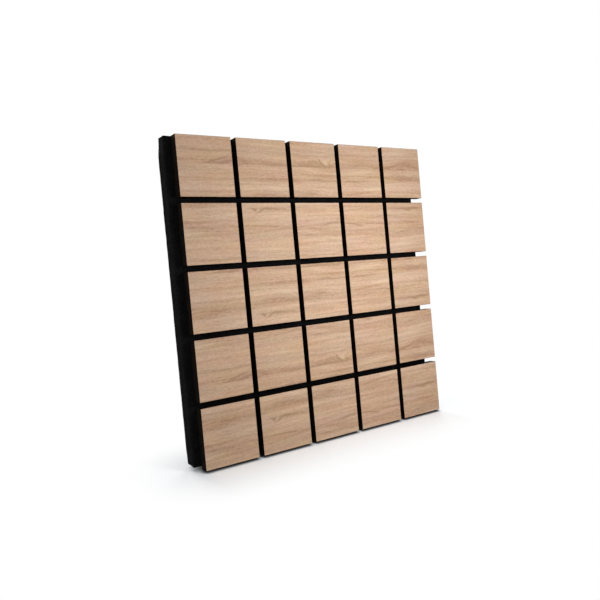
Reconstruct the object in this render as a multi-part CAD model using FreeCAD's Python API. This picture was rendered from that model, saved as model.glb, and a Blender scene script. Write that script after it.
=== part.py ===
import FreeCAD, Part
import os

# Wall panel of square wood-decor tiles glued on one sheet of acoustic foam.
# Frame: +Z up, +X to the right of someone who looks at the tiles, front towards -Y.
# The origin is the centre of the foam sheet's rear face, which is glued to the wall.
# All sizes are in millimetres.

# Tile field
columns = 5
rows = 5
tile_side = 111.5
tile_thickness = 18.0
tile_arris = 0.6
groove = 10.6

# Foam sheet, measured from the outline of the tile field
foam_thickness = 25.0
foam_ledge_left = 16.0
foam_setback_right = 16.0
foam_setback_top = 0.5
foam_setback_bottom = 6.0
foam_corner_round = 5.0
foam_rear_round = 2.0

# Worked out from the sizes above
pitch = tile_side + groove
field_width = columns * tile_side + (columns - 1) * groove
field_height = rows * tile_side + (rows - 1) * groove
foam_width = field_width + foam_ledge_left - foam_setback_right
foam_height = field_height - foam_setback_top - foam_setback_bottom
foam_front_y = -foam_thickness
tile_front_y = foam_front_y - tile_thickness
field_left_x = -foam_width / 2 + foam_ledge_left
field_top_z = foam_height / 2 + foam_setback_top

# Two coordinates closer than this count as the same place
same_place = 1e-6


def spread(edge, axis):
    """Length of the edge's bounding box along the axis 'X', 'Y' or 'Z'."""
    return getattr(edge.BoundBox, axis + "Length")


def edges_along_y(solid):
    """Straight edges that run from the front to the back."""
    return [e for e in solid.Edges if max(spread(e, "X"), spread(e, "Z")) < same_place]


def edges_in_plane_y(solid, y):
    """Edges that lie in the plane at the given Y."""
    return [e for e in solid.Edges
            if spread(e, "Y") < same_place and abs(e.BoundBox.YMin - y) < same_place]


def foam_sheet():
    """One soft sheet with rounded corners and a slightly rounded rear outline."""
    corner = FreeCAD.Vector(-foam_width / 2, foam_front_y, -foam_height / 2)
    sheet = Part.makeBox(foam_width, foam_thickness, foam_height, corner)
    sheet = sheet.makeFillet(foam_corner_round, edges_along_y(sheet))
    rear_round = min(foam_rear_round, foam_thickness / 3, foam_corner_round / 2)
    return sheet.makeFillet(rear_round, edges_in_plane_y(sheet, 0.0))


def tile(row, column):
    """A square of faced board whose front edges are broken by a narrow chamfer."""
    left = field_left_x + column * pitch
    bottom = field_top_z - row * pitch - tile_side
    corner = FreeCAD.Vector(left, tile_front_y, bottom)
    board = Part.makeBox(tile_side, tile_thickness, tile_side, corner)
    return board.makeChamfer(tile_arris, edges_in_plane_y(board, tile_front_y))


def build():
    """All pieces by name: the foam sheet, then the tiles row by row from the top left."""
    pieces = {"foam_sheet": foam_sheet()}
    for row in range(rows):
        for column in range(columns):
            name = "tile_row{}_column{}".format(row + 1, column + 1)
            pieces[name] = tile(row, column)
    return pieces


os.makedirs("parts", exist_ok=True)
for name, shape in build().items():
    shape.exportStep("parts/" + name + ".step")
print("tile field {:.1f} x {:.1f} mm".format(field_width, field_height))
print("foam sheet {:.1f} x {:.1f} x {:.1f} mm".format(foam_width, foam_height, foam_thickness))
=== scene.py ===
"""Looks of a wall panel: square oak-decor tiles glued on one sheet of black acoustic foam.

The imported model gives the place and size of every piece. Each tile is modelled once, with eased
edges and a thin decor film, and copied. The foam sheet is an even net that is pulled back to its
thickness, with bevelled edges, pressed corners and uneven cut faces. Lengths are metres, apart from
the grain, which is in millimetres.
"""

import logging
import math
from dataclasses import dataclass, field
from enum import Enum
from typing import Callable, Iterable, Optional, Sequence, Tuple, Union

import bpy
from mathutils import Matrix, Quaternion, Vector


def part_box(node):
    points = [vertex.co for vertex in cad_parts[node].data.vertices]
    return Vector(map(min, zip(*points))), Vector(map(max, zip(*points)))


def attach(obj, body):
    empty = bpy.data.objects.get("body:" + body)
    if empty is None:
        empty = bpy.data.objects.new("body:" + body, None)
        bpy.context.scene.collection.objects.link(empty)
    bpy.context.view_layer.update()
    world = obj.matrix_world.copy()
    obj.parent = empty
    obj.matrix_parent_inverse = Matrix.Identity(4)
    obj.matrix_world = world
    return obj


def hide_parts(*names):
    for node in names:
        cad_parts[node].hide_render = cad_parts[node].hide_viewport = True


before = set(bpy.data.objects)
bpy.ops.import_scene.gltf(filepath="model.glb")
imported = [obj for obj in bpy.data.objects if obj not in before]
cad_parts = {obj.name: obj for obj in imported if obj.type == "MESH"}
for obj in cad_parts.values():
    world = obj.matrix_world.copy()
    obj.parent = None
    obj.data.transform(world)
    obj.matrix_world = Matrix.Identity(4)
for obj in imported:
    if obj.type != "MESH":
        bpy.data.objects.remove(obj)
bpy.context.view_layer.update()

log = logging.getLogger("foam_panel")

Socket = bpy.types.NodeSocket
Value = Union[float, Socket]
Colour = Tuple[float, float, float, float]

Range = Tuple[float, float]

MM = 0.001
SAME_PLACE = MM / 100
BODY = "root"
FOAM_NODE = "foam_sheet"
TILE_PREFIX = "tile_row"


class Facing(Enum):
    """The way a face of a piece looks, as its outward direction."""

    FRONT = (0.0, -1.0, 0.0)


class Slot(Enum):
    """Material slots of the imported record."""

    FOAM = "acoustic_foam"
    TILE = "oak_decor_tile"


def srgb(red: int, green: int, blue: int) -> Colour:
    """Turn a colour as a screen shows it into the linear values that a shader takes.

    Args:
        red: red, 0 to 255.
        green: green, 0 to 255.
        blue: blue, 0 to 255.

    Returns:
        Linear red, green and blue, and an alpha of one.
    """
    def linear(channel: int) -> float:
        """One channel in linear light."""
        share = channel / 255
        return share / 12.92 if share <= 0.04045 else ((share + 0.055) / 1.055) ** 2.4

    return linear(red), linear(green), linear(blue), 1.0


class Graph:
    """A node tree with short calls for the nodes that the finishes use."""

    def __init__(self, tree: bpy.types.NodeTree) -> None:
        """Start from the tree with its nodes cleared.

        Args:
            tree: the node tree to fill.
        """
        self.tree = tree
        tree.nodes.clear()

    def add(self, kind: str, **settings: object) -> bpy.types.Node:
        """Add a node.

        Args:
            kind: the node's type name without its "ShaderNode" start.
            settings: attributes to set on the node.

        Returns:
            The new node.
        """
        node = self.tree.nodes.new("ShaderNode" + kind)
        for name, value in settings.items():
            setattr(node, name, value)
        return node

    def feed(self, target: Socket, value: object) -> None:
        """Link a socket to an input, or set the input to a plain value.

        Args:
            target: the input.
            value: a socket, number, vector or colour.
        """
        if isinstance(value, bpy.types.NodeSocket):
            self.tree.links.new(value, target)
        else:
            target.default_value = value

    def math(self, operation: str, first: Value, second: Value = 0.0) -> Socket:
        """Work out one sum.

        Args:
            operation: the Math node's operation.
            first: first number or socket.
            second: second number or socket.

        Returns:
            The result's socket.
        """
        node = self.add("Math", operation=operation)
        self.feed(node.inputs[0], first)
        self.feed(node.inputs[1], second)
        return node.outputs[0]

    def fuse(self, first: Value, second: Value, third: Value) -> Socket:
        """Multiply two numbers and add a third.

        Args:
            first: first factor.
            second: second factor.
            third: what is added.

        Returns:
            The result's socket.
        """
        node = self.add("Math", operation="MULTIPLY_ADD")
        for target, value in zip(node.inputs, (first, second, third)):
            self.feed(target, value)
        return node.outputs[0]

    def dot(self, first: Socket, second: Tuple[float, float, float]) -> Socket:
        """Multiply two vectors part by part and add up the products.

        Args:
            first: first vector.
            second: second vector.

        Returns:
            The sum's socket.
        """
        node = self.add("VectorMath", operation="DOT_PRODUCT")
        self.feed(node.inputs[0], first)
        self.feed(node.inputs[1], second)
        return node.outputs["Value"]

    def spread(self, value: Socket, low: float, high: float) -> Socket:
        """Stretch a value so that low becomes 0 and high becomes 1, held within those.

        Args:
            value: the value.
            low: what becomes 0.
            high: what becomes 1.

        Returns:
            The stretched value's socket.
        """
        node = self.add("MapRange", interpolation_type="SMOOTHSTEP")
        self.feed(node.inputs["Value"], value)
        node.inputs["From Min"].default_value = low
        node.inputs["From Max"].default_value = high
        return node.outputs["Result"]

    def point(self, x: Value, y: Value, z: Value) -> Socket:
        """Put three numbers together.

        Args:
            x: across.
            y: along the depth.
            z: up.

        Returns:
            The vector's socket.
        """
        node = self.add("CombineXYZ")
        for target, value in zip(node.inputs, (x, y, z)):
            self.feed(target, value)
        return node.outputs[0]

    def noise(self, where: Socket, scale: float = 1.0, detail: float = 2.0, rough: float = 0.5) -> Socket:
        """Sample soft noise.

        Args:
            where: the point to sample.
            scale: how many lumps fit in one unit.
            detail: how many finer layers are added.
            rough: how strong the finer layers are.

        Returns:
            The noise, about 0.5 on average.
        """
        node = self.add("TexNoise", noise_dimensions="3D")
        self.feed(node.inputs["Vector"], where)
        node.inputs["Scale"].default_value = scale
        node.inputs["Detail"].default_value = detail
        node.inputs["Roughness"].default_value = rough
        return node.outputs["Fac"]

    def mix(self, share: Value, first: object, second: object) -> Socket:
        """Mix two colours.

        Args:
            share: 0 for the first, 1 for the second.
            first: first colour or socket.
            second: second colour or socket.

        Returns:
            The mixed colour's socket.
        """
        node = self.add("Mix", data_type="RGBA")
        self.feed(node.inputs["Factor"], share)
        self.feed(node.inputs["A"], first)
        self.feed(node.inputs["B"], second)
        return node.outputs["Result"]

    def ramp(self, value: Socket, stops: Sequence[Tuple[float, Colour]]) -> Socket:
        """Turn a value into a colour.

        Args:
            value: the value, 0 to 1.
            stops: places and colours, at least two.

        Returns:
            The colour's socket.
        """
        node = self.add("ValToRGB")
        row = node.color_ramp.elements
        while len(row) < len(stops):
            row.new(0.5)
        for element, (place, colour) in zip(row, stops):
            element.position = place
            element.color = colour
        self.feed(node.inputs["Fac"], value)
        return node.outputs["Color"]

    def bump(self, height: Socket, distance: float, strength: float = 1.0) -> Socket:
        """Make a bumped normal.

        Args:
            height: the height, 0 to 1.
            distance: how deep a height of one is, in metres.
            strength: share of the bump that shows.

        Returns:
            The normal's socket.
        """
        node = self.add("Bump")
        node.inputs["Strength"].default_value = strength
        node.inputs["Distance"].default_value = distance
        self.feed(node.inputs["Height"], height)
        return node.outputs["Normal"]


def new_material(name: str) -> Tuple[bpy.types.Material, Graph]:
    """Make an empty node material.

    Args:
        name: the material's name.

    Returns:
        The material and its graph.
    """
    material = bpy.data.materials.new(name)
    material.use_nodes = True
    return material, Graph(material.node_tree)


def close_surface(graph: Graph, colour: object, rough: object, specular: float,
                  normal: Optional[Socket] = None) -> None:
    """End a material in one Principled surface.

    Args:
        graph: the material's graph.
        colour: base colour, value or socket.
        rough: roughness, value or socket.
        specular: specular level, a plain number.
        normal: bumped normal, if any.
    """
    surface = graph.add("BsdfPrincipled")
    graph.feed(surface.inputs["Base Color"], colour)
    graph.feed(surface.inputs["Roughness"], rough)
    surface.inputs["Specular IOR Level"].default_value = specular
    if normal is not None:
        graph.feed(surface.inputs["Normal"], normal)
    out = graph.add("OutputMaterial")
    graph.feed(out.inputs["Surface"], surface.outputs["BSDF"])


@dataclass(frozen=True)
class Figure:
    """One figure of the printed grain, such as a smear or a bend in its lines, in millimetres.

    across is measured from the middle of the tile field, and up from there too, within one repeat.
    A positive tilt, in degrees, rises to the right. A negative dark is a pale figure.
    """

    across: float
    up: float
    half_width: float
    half_height: float
    tilt: float = 0.0
    dark: float = 0.0
    lift: float = 0.0

    def axis(self, turn: float, half: float) -> Tuple[float, float, float]:
        """One axis of the oval, as factors for a point (across, 1, up).

        Args:
            turn: angle from the figure's long axis, in degrees.
            half: half the oval's size along this axis.

        Returns:
            Factors whose sum with the point is 0 at the middle and 1 at the oval's edge.
        """
        angle = math.radians(self.tilt + turn)
        x, z = math.cos(angle) / half, math.sin(angle) / half
        return x, -(self.across * x + self.up * z), z


@dataclass(frozen=True)
class GrainLayer:
    """One layer of streaks along the grain, their length and height in millimetres.

    start is where its noise begins, so that layers differ, and weight is how much it adds.
    """

    length: float
    height: float
    start: float
    weight: float = 1.0
    detail: float = 1.0


@dataclass(frozen=True)
class OakDecor:
    """Matt printed oak decor with a horizontal grain that repeats up the panel.

    tones are its colours from the deepest tone to the palest. layers darken or lighten it, wave and
    ripple bend its lines, breaks interrupt its figures, rosy and rich shift its hue and saturation,
    fibre roughens it, and dash and ring place its pores.
    """

    middle: Tuple[float, float]
    repeat: float = 200.0
    repeat_from: float = 114.5
    tones: Tuple[Tuple[float, Colour], ...] = (
        (0.0, srgb(187, 149, 119)),
        (0.28, srgb(205, 167, 136)),
        (0.5, srgb(217, 180, 149)),
        (0.75, srgb(228, 192, 161)),
        (1.0, srgb(236, 202, 171)),
    )
    layers: Tuple[GrainLayer, ...] = (
        GrainLayer(420, 15.0, 11.0, 0.90),
        GrainLayer(160, 7.0, 18.0, 0.80),
        GrainLayer(46, 3.3, 25.0, 0.60),
        GrainLayer(11, 1.5, 32.0, 0.62, 2.0),
        GrainLayer(4.6, 3.0, 39.0, 0.60),
    )
    wave: GrainLayer = GrainLayer(190, 60.0, 3.0, 8.0)
    ripple: GrainLayer = GrainLayer(42, 14.0, 7.0, 1.9)
    breaks: GrainLayer = GrainLayer(12, 1.7, 60.0, 0.85, 2.0)
    break_range: Range = (0.68, 0.32)
    least_figure: float = 0.42
    rosy: GrainLayer = GrainLayer(70, 16.0, 80.0, -0.040, 2.0)
    rich: GrainLayer = GrainLayer(90, 20.0, 100.0, 0.34, 2.0)
    fibre: GrainLayer = GrainLayer(12, 0.55, 90.0, 0.16, 2.0)
    dash: GrainLayer = GrainLayer(4.5, 0.40, 140.0)
    dash_range: Range = (0.58, 0.70)
    ring: GrainLayer = GrainLayer(110, 6.0, 170.0)
    ring_range: Range = (0.42, 0.62)
    pore: Colour = srgb(168, 133, 104)
    pore_share: float = 0.55
    pore_depth: float = 0.8
    rough: float = 0.50
    specular: float = 0.30
    relief: float = 0.12 * MM
    relief_share: float = 0.5
    bends: Tuple[Figure, ...] = (
        Figure(-186, 263, 34, 12, lift=6.0),
        Figure(-120, 266, 30, 12, lift=3.0),
        Figure(1, 262, 13, 9, lift=4.5),
        Figure(31, 258, 11, 7, lift=-3.5),
        Figure(49, 262, 11, 6, lift=2.0),
        Figure(256, 264, 36, 13, lift=9.0),
        Figure(-142, 160, 9, 6, lift=-2.0),
        Figure(254, 160, 10, 6, lift=-3.0),
        Figure(104, 129, 14, 6, lift=-3.5),
        Figure(36, 139, 30, 8, lift=3.0),
        Figure(4, 224, 14, 5, lift=2.5),
    )
    smears: Tuple[Figure, ...] = (
        Figure(-245, 250.5, 64, 1.5, dark=0.26),
        Figure(-222, 251.8, 16, 1.8, dark=0.42),
        Figure(-205, 253.5, 12, 2.0, 12, dark=0.80),
        Figure(-226, 256.5, 15, 1.4, 14, dark=0.38),
        Figure(-210, 260.5, 15, 1.3, 18, dark=0.34),
        Figure(-165, 251.5, 13, 1.7, 8, dark=0.50),
        Figure(-112, 251.0, 46, 1.5, dark=0.30),
        Figure(-148, 257.5, 26, 1.8, 6, dark=0.24),
        Figure(-16, 251.5, 42, 2.0, dark=0.52),
        Figure(-14, 262.0, 44, 6.5, dark=0.20),
        Figure(2, 251.5, 7, 1.7, -12, dark=0.48),
        Figure(9, 255.0, 9, 1.5, -42, dark=0.46),
        Figure(15.5, 262.0, 6, 1.9, -52, dark=0.80),
        Figure(21.5, 255.5, 7, 1.9, -50, dark=1.05),
        Figure(32, 251.0, 9, 1.5, -4, dark=0.70),
        Figure(30.5, 258.5, 6, 2.6, -38, dark=-0.34),
        Figure(41, 261.5, 6, 1.5, 40, dark=0.46),
        Figure(46, 266.0, 8, 1.4, 6, dark=0.34),
        Figure(40, 256.0, 8, 1.4, -20, dark=0.36),
        Figure(46, 252.0, 10, 1.6, -4, dark=0.42),
        Figure(120, 250.5, 60, 1.4, dark=0.26),
        Figure(112, 260.0, 48, 7.0, dark=0.12),
        Figure(170, 252.0, 15, 2.0, dark=0.50),
        Figure(199, 253.8, 11, 2.3, 8, dark=0.72),
        Figure(214, 257.5, 12, 1.8, 16, dark=0.42),
        Figure(238, 251.0, 38, 1.7, dark=0.38),
        Figure(234, 263.0, 24, 1.5, 14, dark=0.26),
        Figure(268, 259.0, 22, 1.6, -6, dark=0.26),
        Figure(-246, 224.0, 60, 2.4, dark=0.30),
        Figure(-123, 226.0, 60, 4.6, dark=0.42),
        Figure(2, 225.0, 58, 3.2, dark=0.20),
        Figure(28, 222.3, 46, 1.4, dark=0.32),
        Figure(94, 222.5, 34, 1.7, dark=0.52),
        Figure(246, 229.5, 58, 6.0, dark=0.34),
        Figure(-246, 198.5, 60, 1.8, dark=0.24),
        Figure(-130, 193.0, 44, 1.6, dark=0.32),
        Figure(-14, 196.0, 34, 1.6, -5, dark=0.34),
        Figure(112, 197.0, 50, 1.9, 5, dark=0.38),
        Figure(-246, 180.0, 62, 8.0, dark=0.18),
        Figure(246, 185.0, 62, 7.0, dark=0.14),
        Figure(0, 172.5, 60, 1.2, dark=0.24),
        Figure(-140, 167.2, 34, 1.6, dark=0.46),
        Figure(-150, 163.8, 6, 3.2, -24, dark=0.62),
        Figure(-135, 163.2, 10, 1.7, 27, dark=0.66),
        Figure(-142, 164.6, 4, 1.6, 40, dark=-0.40),
        Figure(-112, 165.6, 30, 2.2, dark=0.34),
        Figure(266, 166.2, 36, 2.3, dark=0.66),
        Figure(251, 162.8, 9, 2.6, -8, dark=0.44),
        Figure(-258, 131.5, 38, 1.7, -2, dark=0.42),
        Figure(-250, 127.0, 44, 1.4, -3, dark=0.26),
        Figure(-128, 133.0, 38, 1.4, -2, dark=0.28),
        Figure(-80, 129.5, 16, 1.6, 10, dark=0.34),
        Figure(-20, 132.0, 38, 1.6, 4, dark=0.40),
        Figure(34, 136.0, 28, 3.0, 4, dark=0.34),
        Figure(90, 133.5, 15, 1.6, -4, dark=0.55),
        Figure(106, 130.0, 13, 1.6, -10, dark=0.50),
        Figure(140, 134.0, 42, 1.5, -2, dark=0.34),
        Figure(262, 134.0, 44, 1.6, dark=0.32),
        Figure(-284, 276.0, 24, 3.0, dark=0.30),
        Figure(112, 275.5, 44, 3.0, dark=0.32),
        Figure(-4, 298.5, 46, 1.5, dark=0.30),
        Figure(150, 298.0, 26, 1.6, dark=0.26),
        Figure(0, 210.5, 900, 8.0, dark=-0.20),
        Figure(0, 242.0, 900, 5.5, dark=-0.14),
        Figure(0, 155.0, 900, 6.5, dark=-0.10),
        Figure(60, 286.0, 240, 6.0, dark=-0.12),
    )

    def build(self) -> bpy.types.Material:
        """Make the decor's material.

        Returns:
            The material.
        """
        material, graph = new_material("oak_decor")
        place = graph.add("Mapping", vector_type="POINT")
        graph.feed(place.inputs["Vector"], graph.add("TexCoord").outputs["Object"])
        place.inputs["Scale"].default_value = (1 / MM,) * 3
        place.inputs["Location"].default_value = (-self.middle[0] / MM, 0.0, -self.middle[1] / MM)
        parts = graph.add("SeparateXYZ")
        graph.feed(parts.inputs[0], place.outputs[0])
        across, up = parts.outputs["X"], parts.outputs["Z"]
        line = self._grain_line(graph, across, up)
        tone = self._tone(graph, across, up, line)
        colour = self._colour(graph, across, line, tone)
        pores = self._pores(graph, across, line)
        colour = graph.mix(graph.math("MULTIPLY", pores, self.pore_share), colour, self.pore)
        fibre = self._streaks(graph, across, line, self.fibre)
        rough = graph.fuse(fibre, self.fibre.weight, self.rough)
        height = graph.fuse(pores, -self.pore_depth, fibre)
        normal = graph.bump(height, self.relief, self.relief_share)
        close_surface(graph, colour, rough, self.specular, normal)
        return material

    def _figures(self, graph: Graph, across: Socket, up: Socket, figures: Iterable[Figure],
                 amount: Callable[[Figure], float]) -> Socket:
        """Add up soft oval spots, one for each figure.

        Args:
            graph: the material's graph.
            across: the point's place across, in millimetres.
            up: the point's place up, in millimetres.
            figures: the figures.
            amount: what a figure adds at its middle.

        Returns:
            The sum's socket.
        """
        wrap = graph.add("Math", operation="WRAP")
        graph.feed(wrap.inputs[0], up)
        wrap.inputs[1].default_value = self.repeat_from + self.repeat
        wrap.inputs[2].default_value = self.repeat_from
        here = graph.point(across, 1.0, wrap.outputs[0])
        total: Value = 0.0
        for figure in figures:
            aside = graph.dot(here, figure.axis(0.0, figure.half_width))
            above = graph.dot(here, figure.axis(90.0, figure.half_height))
            square = graph.fuse(above, above, graph.math("MULTIPLY", aside, aside))
            fade = graph.math("POWER", 1 / math.e, square)
            total = graph.fuse(fade, amount(figure), total)
        return total

    def _streaks(self, graph: Graph, across: Socket, line: Socket, layer: GrainLayer) -> Socket:
        """Noise drawn out along the grain, the same again after each repeat of the print.

        Args:
            graph: the material's graph.
            across: the point's place across, in millimetres.
            line: the height of the grain line, in millimetres.
            layer: the streaks' length, height and start.

        Returns:
            The noise, about 0.5 on average.
        """
        turn = graph.math("MULTIPLY", line, 2 * math.pi / self.repeat)
        radius = self.repeat / (2 * math.pi) / layer.height
        along = graph.fuse(across, 1 / layer.length, layer.start)
        place = graph.point(along, graph.math("MULTIPLY", graph.math("COSINE", turn), radius),
                            graph.math("MULTIPLY", graph.math("SINE", turn), radius))
        return graph.noise(place, detail=layer.detail)

    def _grain_line(self, graph: Graph, across: Socket, up: Socket) -> Socket:
        """Height of the grain line through a point, bent round the figures and gently waved.

        Args:
            graph: the material's graph.
            across: the point's place across, in millimetres.
            up: the point's place up, in millimetres.

        Returns:
            The line's height in millimetres.
        """
        lift = self._figures(graph, across, up, self.bends, lambda figure: figure.lift)
        bent = graph.math("SUBTRACT", up, lift)
        for layer in (self.wave, self.ripple):
            bent = graph.fuse(self._streaks(graph, across, up, layer), layer.weight, bent)
        return bent

    def _tone(self, graph: Graph, across: Socket, up: Socket, line: Socket) -> Socket:
        """How dark or pale the print is, from 0, deepest, to 1, palest.

        Args:
            graph: the material's graph.
            across: the point's place across, in millimetres.
            up: the point's place up, in millimetres.
            line: the height of the grain line, in millimetres.

        Returns:
            The tone's socket.
        """
        tone: Value = 0.5
        for layer in self.layers:
            centred = graph.math("SUBTRACT", self._streaks(graph, across, line, layer), 0.5)
            tone = graph.fuse(centred, layer.weight, tone)
        whole = graph.spread(self._streaks(graph, across, line, self.breaks), *self.break_range)
        share = graph.fuse(whole, self.breaks.weight, self.least_figure)
        smear = self._figures(graph, across, up, self.smears, lambda figure: figure.dark)
        return graph.math("SUBTRACT", tone, graph.math("MULTIPLY", smear, share))

    def _colour(self, graph: Graph, across: Socket, line: Socket, tone: Socket) -> Socket:
        """The printed colour for a tone, a little rosier in some patches and yellower in others.

        Args:
            graph: the material's graph.
            across: the point's place across, in millimetres.
            line: the height of the grain line, in millimetres.
            tone: the tone, 0 to 1.

        Returns:
            The colour's socket.
        """
        shift = graph.add("HueSaturation")
        graph.feed(shift.inputs["Color"], graph.ramp(tone, self.tones))
        for name, layer, unshifted in (("Hue", self.rosy, 0.5), ("Saturation", self.rich, 1.0)):
            centred = graph.math("SUBTRACT", self._streaks(graph, across, line, layer), 0.5)
            graph.feed(shift.inputs[name], graph.fuse(centred, layer.weight, unshifted))
        return shift.outputs["Color"]

    def _pores(self, graph: Graph, across: Socket, line: Socket) -> Socket:
        """Short fine dashes along the grain, the open pores of the oak.

        Args:
            graph: the material's graph.
            across: the point's place across, in millimetres.
            line: the height of the grain line, in millimetres.

        Returns:
            How much of a pore is there, 0 to 1.
        """
        dash = graph.spread(self._streaks(graph, across, line, self.dash), *self.dash_range)
        ring = graph.spread(self._streaks(graph, across, line, self.ring), *self.ring_range)
        return graph.math("MULTIPLY", dash, ring)


@dataclass(frozen=True)
class EdgePaint:
    """Dark brown, almost black paint on the sides and back of the tiles."""

    deep: Colour = srgb(15, 11, 9)
    worn: Colour = srgb(26, 19, 15)
    clouds: float = 60.0
    cloud_range: Range = (0.35, 0.75)
    grit: float = 1500.0
    grit_rough: float = 0.2
    rough: float = 0.66
    specular: float = 0.05
    relief: float = 0.2 * MM
    relief_share: float = 0.6

    def build(self) -> bpy.types.Material:
        """Make the paint's material.

        Returns:
            The material.
        """
        material, graph = new_material("edge_paint")
        where = graph.add("TexCoord").outputs["Object"]
        cloud = graph.noise(where, scale=self.clouds, detail=3.0)
        grit = graph.noise(where, scale=self.grit, detail=2.0)
        colour = graph.mix(graph.spread(cloud, *self.cloud_range), self.deep, self.worn)
        rough = graph.fuse(grit, self.grit_rough, self.rough)
        normal = graph.bump(grit, self.relief, self.relief_share)
        close_surface(graph, colour, rough, self.specular, normal)
        return material


@dataclass(frozen=True)
class OpenCellFoam:
    """Matt black open-cell foam: a fine web of cells whose pores are darkened as painted shade in the cell
    hollows.
    """

    # The pore colour is painted shade: the cells' hollows drawn darker than the web around them.
    web: Colour = srgb(34, 33, 34)
    pore: Colour = srgb(10, 10, 11)
    cells: float = 900.0
    cell_walls: Range = (0.16, 0.62)
    open_cells: float = 230.0
    open_walls: Range = (0.10, 0.42)
    wander: float = 0.8 * MM
    wander_scale: float = 400.0
    mottle: float = 48.0
    mottle_range: Range = (0.34, 0.66)
    mottle_share: float = 0.34
    least_mottle: float = 0.52
    open_share: float = 0.6
    least_open: float = 0.45
    wall_height: float = 0.8
    rough: float = 1.0
    specular: float = 0.02
    relief: float = 0.6 * MM
    relief_share: float = 0.9

    def build(self) -> bpy.types.Material:
        """Make the foam's material.

        Returns:
            The material.
        """
        material, graph = new_material("black_foam")
        where = graph.add("TexCoord").outputs["Object"]
        wander = graph.add("VectorMath", operation="MULTIPLY_ADD")
        warp = graph.add("TexNoise", noise_dimensions="3D")
        graph.feed(warp.inputs["Vector"], where)
        warp.inputs["Scale"].default_value = self.wander_scale
        graph.feed(wander.inputs[0], warp.outputs["Color"])
        wander.inputs[1].default_value = (self.wander,) * 3
        graph.feed(wander.inputs[2], where)
        cell = graph.add("TexVoronoi", voronoi_dimensions="3D", feature="F1")
        graph.feed(cell.inputs["Vector"], wander.outputs[0])
        cell.inputs["Scale"].default_value = self.cells
        wall = graph.spread(cell.outputs["Distance"], *self.cell_walls)
        large = graph.add("TexVoronoi", voronoi_dimensions="3D", feature="F1")
        graph.feed(large.inputs["Vector"], wander.outputs[0])
        large.inputs["Scale"].default_value = self.open_cells
        rim = graph.spread(large.outputs["Distance"], *self.open_walls)
        mottle = graph.spread(graph.noise(where, scale=self.mottle, detail=4.0), *self.mottle_range)
        # Painted shade: the colour falls to the pore colour in the middle of each small and each large
        # cell, where the hollows are.
        share = graph.math("MULTIPLY", wall, graph.fuse(mottle, self.mottle_share, self.least_mottle))
        share = graph.math("MULTIPLY", share, graph.fuse(rim, self.open_share, self.least_open))
        colour = graph.mix(share, self.pore, self.web)
        height = graph.fuse(wall, self.wall_height, rim)
        normal = graph.bump(height, self.relief, self.relief_share)
        close_surface(graph, colour, self.rough, self.specular, normal)
        return material


def select_only(piece: bpy.types.Object) -> None:
    """Select one object and make it active.

    Args:
        piece: the object.
    """
    bpy.ops.object.select_all(action="DESELECT")
    piece.select_set(True)
    bpy.context.view_layer.objects.active = piece


def add_block(name: str, low: Vector, high: Vector) -> bpy.types.Object:
    """Add a block with its place and size in its mesh.

    Args:
        name: the piece's name.
        low: lowest corner.
        high: highest corner.

    Returns:
        The new piece, selected and active.
    """
    bpy.ops.object.select_all(action="DESELECT")
    bpy.ops.mesh.primitive_cube_add(size=1.0, location=(low + high) / 2, scale=high - low)
    piece = bpy.context.active_object
    piece.name = name
    piece.data.name = name
    bpy.ops.object.transform_apply(location=True, rotation=True, scale=True)
    return piece


def pick_edges(piece: bpy.types.Object, wanted: Callable[[Vector, Vector], bool]) -> None:
    """Select the edges whose two ends pass a test, from object mode.

    Args:
        piece: the object.
        wanted: takes both ends of an edge and says whether it is wanted.
    """
    mesh = piece.data
    for parts in (mesh.polygons, mesh.edges, mesh.vertices):
        for part in parts:
            part.select = False
    for edge in mesh.edges:
        first, second = (mesh.vertices[index].co for index in edge.vertices)
        edge.select = wanted(first, second)


def pick_faces(piece: bpy.types.Object, wanted: Callable[[bpy.types.MeshPolygon], bool]) -> None:
    """Select the faces that pass a test, from object mode.

    Args:
        piece: the object.
        wanted: takes a face and says whether it is wanted.
    """
    mesh = piece.data
    for parts in (mesh.edges, mesh.vertices):
        for part in parts:
            part.select = False
    for face in mesh.polygons:
        face.select = wanted(face)


def bevel_edges(piece: bpy.types.Object, wanted: Callable[[Vector, Vector], bool], width: float,
                segments: int) -> None:
    """Round the edges that pass a test.

    Args:
        piece: the object.
        wanted: takes both ends of an edge and says whether it is wanted.
        width: width of the rounding.
        segments: how many faces the rounding has across.
    """
    select_only(piece)
    pick_edges(piece, wanted)
    bpy.ops.object.mode_set(mode="EDIT")
    bpy.ops.mesh.select_mode(type="EDGE")
    bpy.ops.mesh.bevel(offset=width, offset_type="OFFSET", segments=segments, affect="EDGES")
    bpy.ops.object.mode_set(mode="OBJECT")


def along_depth(first: Vector, second: Vector) -> bool:
    """Whether an edge runs straight from the front to the back."""
    return abs(first.x - second.x) < SAME_PLACE and abs(first.z - second.z) < SAME_PLACE


def at_depth(depth: float) -> Callable[[Vector, Vector], bool]:
    """Make a test for edges that lie in one upright plane.

    Args:
        depth: the plane's Y.

    Returns:
        The test.
    """
    return lambda first, second: max(abs(first.y - depth), abs(second.y - depth)) < SAME_PLACE


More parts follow.
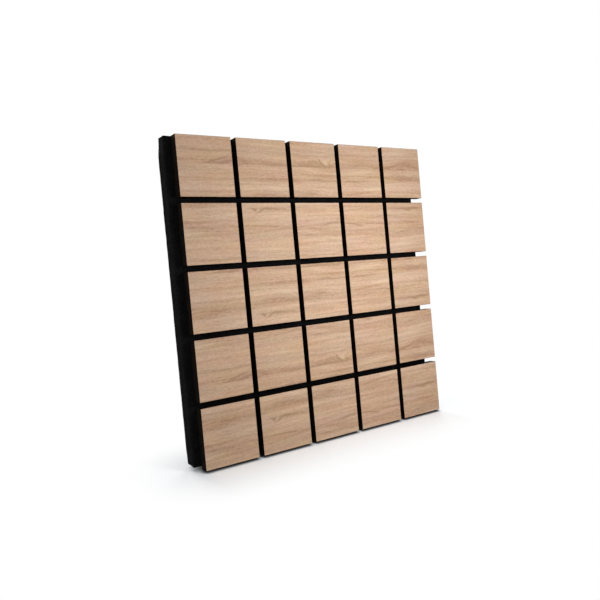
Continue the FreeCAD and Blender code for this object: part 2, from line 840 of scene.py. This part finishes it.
@dataclass
class TileField:
    """The square tiles of faced board: dark sides and a thin oak film on the front."""

    nodes: Sequence[str]
    decor: bpy.types.Material
    paint: bpy.types.Material
    film: float = 0.25 * MM
    film_margin: float = 0.35 * MM
    corner_round: float = 0.5 * MM
    rear_round: float = 0.4 * MM
    pieces: list = field(default_factory=list)

    def model_tile(self, low: Vector, high: Vector) -> bpy.types.Object:
        """Model one tile.

        Args:
            low: lowest corner of its node.
            high: highest corner of its node.

        Returns:
            The tile, with its decor face and painted sides.
        """
        body_low = Vector((low.x, low.y + self.film, low.z))
        tile = add_block("oak_tile", body_low, high)
        bevel_edges(tile, along_depth, self.corner_round, 2)
        bevel_edges(tile, at_depth(high.y), self.rear_round, 2)
        self._raise_film(tile)
        bevel_edges(tile, at_depth(low.y), self.film * 0.8, 2)
        self._dress(tile, low.y)
        bpy.ops.object.shade_smooth_by_angle(angle=math.radians(35))
        return tile

    def _raise_film(self, tile: bpy.types.Object) -> None:
        """Raise the thin decor film from the front, a hair inside the board's arris.

        Args:
            tile: the tile's board.
        """
        select_only(tile)
        pick_faces(tile, lambda face: face.normal.dot(Vector(Facing.FRONT.value)) > 0.9)
        bpy.ops.object.mode_set(mode="EDIT")
        bpy.ops.mesh.select_mode(type="FACE")
        bpy.ops.mesh.inset(thickness=self.film_margin, depth=0.0, use_even_offset=True)
        bpy.ops.mesh.extrude_region_move(
            TRANSFORM_OT_translate={"value": (0.0, -self.film, 0.0)})
        bpy.ops.object.mode_set(mode="OBJECT")

    def _dress(self, tile: bpy.types.Object, front: float) -> None:
        """Give the film the decor and everything else the paint.

        Args:
            tile: the tile.
            front: Y of the film's face.
        """
        tile.data.materials.clear()
        tile.data.materials.append(self.paint)
        tile.data.materials.append(self.decor)
        select_only(tile)
        pick_faces(tile, lambda face: face.center.y < front + self.film * 1.01)
        tile.active_material_index = 1
        bpy.ops.object.mode_set(mode="EDIT")
        bpy.ops.object.material_slot_assign()
        bpy.ops.object.mode_set(mode="OBJECT")

    def place(self) -> None:
        """Copy the tile to every tile node and let each copy stand for its node."""
        first_low, first_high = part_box(self.nodes[0])
        pattern = self.model_tile(first_low, first_high)
        for node in self.nodes:
            low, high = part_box(node)
            piece = pattern.copy()
            piece.data = pattern.data.copy()
            piece.name = "oak_" + node
            piece.data.name = piece.name
            bpy.context.scene.collection.objects.link(piece)
            select_only(piece)
            piece.location = low - first_low
            bpy.ops.object.transform_apply(location=True, rotation=False, scale=False)
            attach(piece, BODY)
            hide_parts(node)
            self.pieces.append(piece)
        bpy.data.objects.remove(pattern, do_unlink=True)
        log.info("tiles: %d pieces, %d faces each", len(self.pieces), len(self.pieces[0].data.polygons))


@dataclass
class FoamSheet:
    """The soft sheet of black foam that carries the tiles."""

    node: str
    finish: bpy.types.Material
    cell: float = 4.0 * MM
    depth_steps: int = 6
    corner_round: float = 1.2 * MM
    outline_round: float = 0.6 * MM
    unevenness: float = 0.7 * MM
    lump: float = 14.0 * MM

    def build(self) -> bpy.types.Object:
        """Model the sheet.

        Returns:
            The finished piece.
        """
        low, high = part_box(self.node)
        sheet = self._even_net(low, high)
        self._ease_edges(sheet, low, high)
        self._press_corners(sheet, low, high)
        self._roughen(sheet, low, high)
        sheet.data.materials.clear()
        sheet.data.materials.append(self.finish)
        select_only(sheet)
        bpy.ops.object.shade_smooth_by_angle(angle=math.radians(50))
        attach(sheet, BODY)
        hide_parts(self.node)
        log.info("foam sheet: %d faces", len(sheet.data.polygons))
        return sheet

    def _even_net(self, low: Vector, high: Vector) -> bpy.types.Object:
        """Draw the sheet's front as an even net and pull it back to the sheet's thickness.

        Args:
            low: lowest corner of its node.
            high: highest corner of its node.

        Returns:
            The plain sheet.
        """
        size = high - low
        bpy.ops.object.select_all(action="DESELECT")
        bpy.ops.mesh.primitive_grid_add(x_subdivisions=round(size.x / self.cell),
                                        y_subdivisions=round(size.z / self.cell), size=1.0,
                                        rotation=(math.radians(90), 0.0, 0.0))
        sheet = bpy.context.active_object
        sheet.name = sheet.data.name = "foam_sheet_soft"
        sheet.scale = (size.x, size.z, 1.0)
        sheet.location = ((low.x + high.x) / 2, low.y, (low.z + high.z) / 2)
        bpy.ops.object.transform_apply(location=True, rotation=True, scale=True)
        bpy.ops.object.mode_set(mode="EDIT")
        bpy.ops.mesh.select_mode(type="FACE")
        bpy.ops.mesh.select_all(action="SELECT")
        for _ in range(self.depth_steps):
            bpy.ops.mesh.extrude_region_move(
                TRANSFORM_OT_translate={"value": (0.0, size.y / self.depth_steps, 0.0)})
        bpy.ops.mesh.select_all(action="SELECT")
        bpy.ops.mesh.normals_make_consistent(inside=False)
        bpy.ops.object.mode_set(mode="OBJECT")
        return sheet

    def _ease_edges(self, sheet: bpy.types.Object, low: Vector, high: Vector) -> None:
        """Round the four corners and ease the front and rear outlines.

        Args:
            sheet: the sheet.
            low: lowest corner of its node.
            high: highest corner of its node.
        """
        def at_corner(first: Vector, second: Vector) -> bool:
            """Whether an edge is one of the four corners' edges."""
            aside = min(abs(first.x - low.x), abs(first.x - high.x))
            above = min(abs(first.z - low.z), abs(first.z - high.z))
            return along_depth(first, second) and max(aside, above) < SAME_PLACE

        bevel_edges(sheet, at_corner, self.corner_round, 3)
        bpy.ops.object.mode_set(mode="EDIT")
        bpy.ops.mesh.select_mode(type="EDGE")
        bpy.ops.mesh.select_all(action="DESELECT")
        bpy.ops.mesh.edges_select_sharp(sharpness=math.radians(60))
        bpy.ops.mesh.bevel(offset=self.outline_round, offset_type="OFFSET", segments=2, affect="EDGES")
        bpy.ops.object.mode_set(mode="OBJECT")

    def _press_corners(self, sheet: bpy.types.Object, low: Vector, high: Vector) -> None:
        """Press the rear corners in a little, as the corners of a handled sheet are.

        Args:
            sheet: the sheet.
            low: lowest corner of its node.
            high: highest corner of its node.
        """
        presses = (
            (low.x, high.z, Vector((3.0, -0.4, 1.2)) * MM, 38.0 * MM),
            (low.x, low.z, Vector((0.5, -0.8, 3.2)) * MM, 30.0 * MM),
            (high.x, high.z, Vector((-1.6, -0.6, -0.8)) * MM, 24.0 * MM),
            (high.x, low.z, Vector((-1.0, -0.8, 1.8)) * MM, 18.0 * MM),
        )
        for x, z, push, reach in presses:
            corner = Vector((x, high.y, z))
            for vertex in sheet.data.vertices:
                share = (vertex.co - corner).length / reach
                if share < 1.0:
                    vertex.co += push * (1.0 - share * share) ** 2

    def _roughen(self, sheet: bpy.types.Object, low: Vector, high: Vector) -> None:
        """Give the cut faces a soft unevenness and keep the glued front flat.

        Args:
            sheet: the sheet.
            low: lowest corner of its node.
            high: highest corner of its node.
        """
        select_only(sheet)
        group = sheet.vertex_groups.new(name="cut_faces")
        for vertex in sheet.data.vertices:
            depth = (vertex.co.y - low.y) / (high.y - low.y)
            group.add([vertex.index], min(1.0, depth * 4.0), "REPLACE")
        lumps = bpy.data.textures.new("foam_lumps", "CLOUDS")
        lumps.noise_scale = self.lump
        lumps.noise_depth = 3
        displace = sheet.modifiers.new("cut_faces", "DISPLACE")
        displace.texture = lumps
        displace.strength = self.unevenness
        displace.mid_level = 0.6
        displace.vertex_group = group.name
        bpy.ops.object.modifier_apply(modifier=displace.name)
        for vertex in sheet.data.vertices:
            vertex.co.y = max(low.y, min(high.y, vertex.co.y))


@dataclass
class Lamp:
    """One soft rectangular light that points at a place."""

    name: str
    place: Tuple[float, float, float]
    aim: Tuple[float, float, float]
    size: float
    power: float

    def build(self) -> None:
        """Add the light, unseen by the camera."""
        data = bpy.data.lights.new(self.name, "AREA")
        data.shape = "SQUARE"
        data.size = self.size
        data.energy = self.power
        data.spread = math.pi
        lamp = bpy.data.objects.new(self.name, data)
        lamp.location = self.place
        lamp.rotation_mode = "QUATERNION"
        lamp.rotation_quaternion = (Vector(self.aim) - Vector(self.place)).to_track_quat("-Z", "Y")
        lamp.visible_camera = False
        bpy.context.scene.collection.objects.link(lamp)


@dataclass
class Studio:
    """Pale floor with a painted contact shadow under the panel, soft light and the camera."""

    middle: Vector
    bottom: float
    floor_gap: float = 1.6 * MM
    shadow_reach: Tuple[float, float] = (0.0, 0.15)
    panel_half: float = 0.29
    # Reach and power of the painted contact shadow that darkens the floor's seen colour near the panel.
    painted_contact_shade_reach: float = 8.0 * MM
    painted_contact_shade_power: float = 2.4
    surround: float = 0.38
    floor_lit: Colour = (0.55, 0.55, 0.55, 1.0)
    floor_seen: Colour = (1.24, 1.27, 1.30, 1.0)
    floor_half: float = 12.0
    lean_deg: float = 9.0
    tile_rear_y: float = -25.0 * MM
    focal_mm: float = 38.37
    aim_offset: Tuple[float, float] = (-64.6 * MM, -14.6 * MM)
    camera_azimuth_deg: float = -34.908
    camera_elevation_deg: float = 1.365
    camera_distance: float = 1.2644
    camera_roll_deg: float = 5.183

    def build(self) -> None:
        """Set up the whole studio."""
        self._world()
        self._floor()
        self._camera()
        for lamp in self._lamps():
            lamp.build()
        bpy.context.scene.view_settings.view_transform = "Standard"
        log.info("studio: floor, lamps and camera")

    def _lamps(self) -> Tuple[Lamp, ...]:
        """The lights.

        Returns:
            The lamps that light the panel from the front and more weakly from behind.
        """
        return (
            Lamp("key", (0.12, -0.53, 0.085), (0.12, -0.04, 0.085), 0.28, 1.64),
            Lamp("fill", (-1.9, -0.55, 0.15), (0.0, 0.0, 0.0), 0.9, 6.4),
            Lamp("rear_left", (-0.2, 1.8, 0.9), (0.0, 0.0, 0.0), 0.9, 17.0),
            Lamp("rear_right", (1.4, 1.3, 0.7), (0.0, 0.0, 0.0), 0.9, 14.0),
        )

    def _world(self) -> None:
        """A pale surround that the camera, gloss and clear parts see as white."""
        world = bpy.data.worlds.new("surround")
        world.use_nodes = True
        bpy.context.scene.world = world
        graph = Graph(world.node_tree)
        soft = graph.add("Background")
        soft.inputs["Color"].default_value = (1.0, 1.0, 1.0, 1.0)
        soft.inputs["Strength"].default_value = self.surround
        white = graph.add("Background")
        white.inputs["Color"].default_value = (1.0, 1.0, 1.0, 1.0)
        white.inputs["Strength"].default_value = 1.0
        choose = graph.add("MixShader")
        graph.feed(choose.inputs[0], self._seen(graph))
        graph.feed(choose.inputs[1], soft.outputs[0])
        graph.feed(choose.inputs[2], white.outputs[0])
        out = graph.add("OutputWorld")
        graph.feed(out.inputs["Surface"], choose.outputs[0])

    def _seen(self, graph: Graph) -> Socket:
        """One for rays of the camera, of gloss and of clear parts, and nought for the rest."""
        path = graph.add("LightPath")
        seen = graph.math("MAXIMUM", path.outputs["Is Camera Ray"], path.outputs["Is Glossy Ray"])
        return graph.math("MAXIMUM", seen, path.outputs["Is Transmission Ray"])

    def _floor(self) -> None:
        """A wide pale floor under the panel, which leans back from it a little. Its seen colour is
        darkened by ambient occlusion, a painted contact shadow under the tiles and the foam.
        """
        bpy.ops.object.select_all(action="DESELECT")
        bpy.ops.mesh.primitive_plane_add(size=2 * self.floor_half, location=(0.0, 0.0, 0.0))
        floor = bpy.context.active_object
        floor.name = "floor"
        floor.rotation_euler = (math.radians(self.lean_deg), 0.0, 0.0)
        floor.location = (0.0, self.tile_rear_y, self.bottom - self.floor_gap)
        bpy.ops.object.transform_apply(location=True, rotation=True, scale=True)
        material, graph = new_material("pale_floor")
        parts = graph.add("SeparateXYZ")
        graph.feed(parts.inputs[0], graph.add("TexCoord").outputs["Object"])
        aside = graph.math("ABSOLUTE", graph.math("SUBTRACT", parts.outputs["X"], self.middle.x))
        beyond = graph.math("MAXIMUM", graph.math("SUBTRACT", aside, self.panel_half), 0.0)
        before = graph.math("SUBTRACT", parts.outputs["Y"], self.tile_rear_y)
        length = graph.add("VectorMath", operation="LENGTH")
        graph.feed(length.inputs[0], graph.point(beyond, before, 0.0))
        away = graph.spread(length.outputs["Value"], *self.shadow_reach)
        lit = graph.add("BsdfDiffuse")
        lit.inputs["Color"].default_value = self.floor_lit
        # Painted shade: ambient occlusion darkens the floor's seen colour where the panel closes over it,
        # a painted contact shadow beneath the tiles.
        painted_contact_shade = graph.add("AmbientOcclusion")
        painted_contact_shade.inputs["Distance"].default_value = self.painted_contact_shade_reach
        painted_contact_shade_factor = graph.math("POWER", painted_contact_shade.outputs["AO"], self.painted_contact_shade_power)
        shaded = graph.add("BsdfDiffuse")
        graph.feed(shaded.inputs["Color"], graph.mix(painted_contact_shade_factor, (0.0, 0.0, 0.0, 1.0), self.floor_seen))
        white = graph.add("Emission")
        white.inputs["Color"].default_value = (1.0, 1.0, 1.0, 1.0)
        shown = graph.add("MixShader")
        graph.feed(shown.inputs[0], away)
        graph.feed(shown.inputs[1], shaded.outputs[0])
        graph.feed(shown.inputs[2], white.outputs[0])
        choose = graph.add("MixShader")
        graph.feed(choose.inputs[0], self._seen(graph))
        graph.feed(choose.inputs[1], lit.outputs[0])
        graph.feed(choose.inputs[2], shown.outputs[0])
        out = graph.add("OutputMaterial")
        graph.feed(out.inputs["Surface"], choose.outputs[0])
        floor.data.materials.append(material)

    def _camera(self) -> None:
        """A camera in front of the panel and to its left, turned a little about its own axis."""
        data = bpy.data.cameras.new("camera")
        data.lens = self.focal_mm
        camera = bpy.data.objects.new("camera", data)
        azimuth, elevation = math.radians(self.camera_azimuth_deg), math.radians(self.camera_elevation_deg)
        back = Vector((math.sin(azimuth) * math.cos(elevation), -math.cos(azimuth) * math.cos(elevation),
                       math.sin(elevation)))
        aim = self.middle + Vector((self.aim_offset[0], 0.0, self.aim_offset[1]))
        camera.location = aim + back * self.camera_distance
        level = (-back).to_track_quat("-Z", "Y")
        roll = Quaternion((0.0, 0.0, 1.0), math.radians(-self.camera_roll_deg))
        camera.rotation_mode = "QUATERNION"
        camera.rotation_quaternion = level @ roll
        bpy.context.scene.collection.objects.link(camera)
        bpy.context.scene.camera = camera


def main() -> None:
    """Build the panel piece by piece, then the studio."""
    logging.basicConfig(level=logging.INFO, format="%(name)s: %(message)s")
    tiles = sorted(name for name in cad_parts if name.startswith(TILE_PREFIX))
    corners = [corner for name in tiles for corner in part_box(name)]
    low = Vector(map(min, zip(*corners)))
    high = Vector(map(max, zip(*corners)))
    middle = (low + high) / 2
    decor = OakDecor(middle=(middle.x, middle.z)).build()
    TileField(nodes=tiles, decor=decor, paint=EdgePaint().build()).place()
    FoamSheet(node=FOAM_NODE, finish=OpenCellFoam().build()).build()
    Studio(middle=Vector((middle.x, low.y, middle.z)), bottom=low.z).build()


if __name__ == "__main__":
    main()
